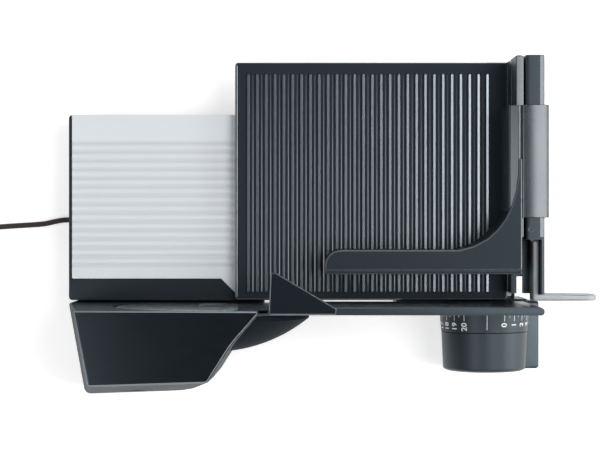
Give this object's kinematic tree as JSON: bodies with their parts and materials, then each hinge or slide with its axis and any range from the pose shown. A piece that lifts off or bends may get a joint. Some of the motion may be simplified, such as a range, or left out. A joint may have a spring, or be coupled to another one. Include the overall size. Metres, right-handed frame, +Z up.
{
  "type": "electric food slicer",
  "caption": "Electric food slicer with a motor tower, round steel blade, ribbed sliding carriage, food pusher and a turning knob that sets the slice thickness.",
  "frame": {"origin": "middle of the footprint of the machine without its mains lead, on the table under its feet", "axes": "+X to the right along the carriage's travel, +Y to the back away from the thickness knob, +Z up"},
  "size_m": [0.6533, 0.3008, 0.223],
  "materials": {
    "black_plastic": "satin moulded",
    "slate_plastic": "satin moulded",
    "grey_plastic": "satin moulded",
    "gloss_black": "gloss",
    "silver_plate": "satin",
    "steel": "ground",
    "bearing_bronze": "machined",
    "die_cast": "as cast",
    "white_plastic": "moulded",
    "rubber": "matt",
    "cord_rubber": "matt"
  },
  "bodies": {
    "base_unit": {"base_shell": "black_plastic", "base_cover_plate": "silver_plate", "bottom_plate": "grey_plastic", "foot_back_left": "rubber", "foot_back_right": "rubber", "foot_front_right": "rubber", "foot_front_left": "rubber", "guide_rail": "steel", "tower_shell": "grey_plastic", "tower_top_panel": "gloss_black", "blade_back_cover": "black_plastic", "gear_housing_plate": "grey_plastic", "front_bush": "bearing_bronze", "gear_frame": "die_cast", "motor_can": "die_cast", "switch_body": "black_plastic", "button_spring": "steel", "cam_post": "die_cast", "guide_bush_left": "bearing_bronze", "guide_bush_right": "bearing_bronze", "strain_relief": "rubber", "bottom_plate_screw_1": "steel", "bottom_plate_screw_2": "steel", "bottom_plate_screw_3": "steel", "bottom_plate_screw_4": "steel", "tower_screw_1": "steel", "tower_screw_2": "steel", "frame_screw_1": "steel", "frame_screw_2": "steel", "cord_lead": "cord_rubber", "cord_coil": "cord_rubber", "cord_tail": "cord_rubber", "cord_tie": "rubber", "cord_plug": "rubber"},
    "blade_unit": {"blade": "steel", "blade_lock": "grey_plastic", "blade_shaft": "steel", "drive_gear": "white_plastic"},
    "worm": {"worm_shaft": "steel"},
    "button": {"on_off_button": "grey_plastic"},
    "stop_unit": {"stop_plate": "slate_plastic", "finger_guard": "slate_plastic", "plate_carrier": "die_cast", "guide_bar_left": "steel", "guide_bar_right": "steel"},
    "knob": {"knob_scale_ring": "grey_plastic", "knob_grip": "grey_plastic", "cam_pin": "steel", "knob_retainer": "steel"},
    "carriage": {"carriage_plate": "slate_plastic", "carriage_wall": "slate_plastic", "thumb_guard": "steel", "carriage_runner": "black_plastic", "front_glide": "white_plastic"},
    "pusher": {"pusher_body": "slate_plastic", "pusher_saddle": "slate_plastic", "spike_plate": "steel"}
  },
  "joints": [
    {"name": "carriage_slide", "type": "slide", "parent": "base_unit", "child": "carriage", "axis": [1, 0, 0], "range_m": [-0.205, 0]},
    {"name": "pusher_slide", "type": "slide", "parent": "carriage", "child": "pusher", "axis": [0, 1, 0], "range_m": [-0.02, 0.043]},
    {"name": "blade_spin", "type": "hinge", "parent": "base_unit", "child": "blade_unit", "pos_m": [-0.0985, -0.08759, 0.13], "axis": [0, 1, 0], "continuous": true},
    {"name": "worm_spin", "type": "hinge", "parent": "base_unit", "child": "worm", "pos_m": [-0.0985, -0.09709, 0.163], "axis": [1, 0, 0], "continuous": true},
    {"name": "stop_plate_slide", "type": "slide", "parent": "base_unit", "child": "stop_unit", "axis": [0, -1, 0], "range_m": [0, 0.0217]},
    {"name": "knob_turn", "type": "hinge", "parent": "stop_unit", "child": "knob", "pos_m": [0.1452, -0.09759, 0.068], "axis": [0, -1, 0], "range_deg": [0, 333]},
    {"name": "button_press", "type": "slide", "parent": "base_unit", "child": "button", "axis": [0, 1, 0], "range_m": [0, 0.003], "stiffness_N_per_m": 600, "deforming": ["button_spring"]}
  ],
  "couplings": [
    {"joint": "worm_spin", "follows": "blade_spin", "ratio": -40},
    {"joint": "stop_plate_slide", "follows": "knob_turn", "m_per_rad": 0.0037337}
  ]
}
